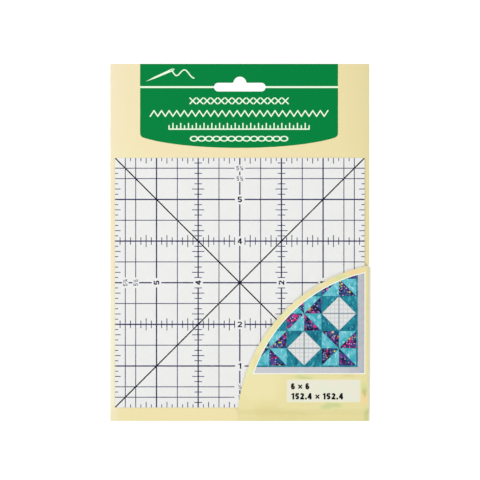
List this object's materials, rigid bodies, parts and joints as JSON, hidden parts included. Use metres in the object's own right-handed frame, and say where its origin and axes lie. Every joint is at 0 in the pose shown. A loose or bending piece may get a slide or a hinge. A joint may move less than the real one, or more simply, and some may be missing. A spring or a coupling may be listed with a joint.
{
  "type": "hem ruler on a hanging card",
  "caption": "Square heat-resistant hem ruler with an inch grid, its corner held in the arc-edged pocket of a printed hanging card; it slides up out of the pocket.",
  "frame": {"origin": "centre of the card's back face, which lies flat on the surface", "axes": "+X to the right, +Y up the card to the hang slot, +Z out of the printed front"},
  "size_m": [0.158, 0.218, 0.0039],
  "materials": {
    "board": "coated printed board, pale cream",
    "adhesive": "dry hot-melt glue film",
    "ruler_sheet": "matte heat-resistant pressed-fibre sheet, off-white",
    "scale_ink": "navy screen ink",
    "header_ink": "green offset ink, satin",
    "picture_ink": "offset ink, satin",
    "label_ink": "offset ink, satin"
  },
  "bodies": {
    "card": {"back_panel": "board", "side_fold": "board", "front_flap": "board", "flap_adhesive": "adhesive", "header_upper_print": "header_ink", "header_lower_print": "header_ink", "picture_print": "picture_ink", "size_label_print": "label_ink"},
    "ruler": {"ruler_sheet": "ruler_sheet", "scale_grid_print": "scale_ink"}
  },
  "joints": [
    {"name": "ruler_slide", "type": "slide", "parent": "card", "child": "ruler", "axis": [0, 1, 0], "range_m": [0, 0.09]}
  ]
}
